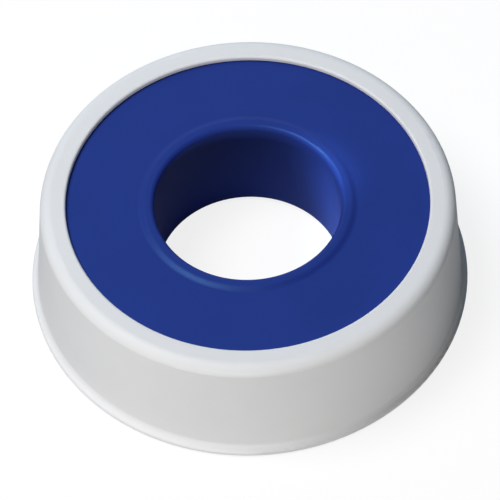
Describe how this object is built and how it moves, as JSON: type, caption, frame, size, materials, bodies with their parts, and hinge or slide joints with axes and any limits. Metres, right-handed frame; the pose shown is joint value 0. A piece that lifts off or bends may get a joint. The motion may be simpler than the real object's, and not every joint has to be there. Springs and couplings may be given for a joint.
{
  "type": "thread seal tape roll",
  "caption": "Flat round roll of thread seal tape: a drafted lift-off shell over tape wound on a flanged, through-bored spool that turns in a base plate.",
  "frame": {"origin": "middle of the face it rests on, on the spool's axis", "axes": "+Z along the spool's axis, from the base plate towards the flange; X and Y are alike, as the part is round"},
  "size_m": [0.052, 0.052, 0.0148],
  "materials": {
    "shell_plastic": "satin white polypropylene",
    "base_plastic": "satin white polypropylene",
    "spool_plastic": "satin blue polypropylene",
    "tape_film": "soft matte white film, wound edge showing"
  },
  "bodies": {
    "base": {"base_plate": "base_plastic"},
    "spool": {"spool": "spool_plastic", "tape_roll": "tape_film"},
    "shell": {"outer_shell": "shell_plastic"}
  },
  "joints": [
    {"name": "spool_spin", "type": "hinge", "parent": "base", "child": "spool", "pos_m": [0, 0, 0.001], "axis": [0, 0, 1], "continuous": true},
    {"name": "shell_lift", "type": "slide", "parent": "base", "child": "shell", "axis": [0, 0, 1], "range_m": [0, 0.024]}
  ]
}
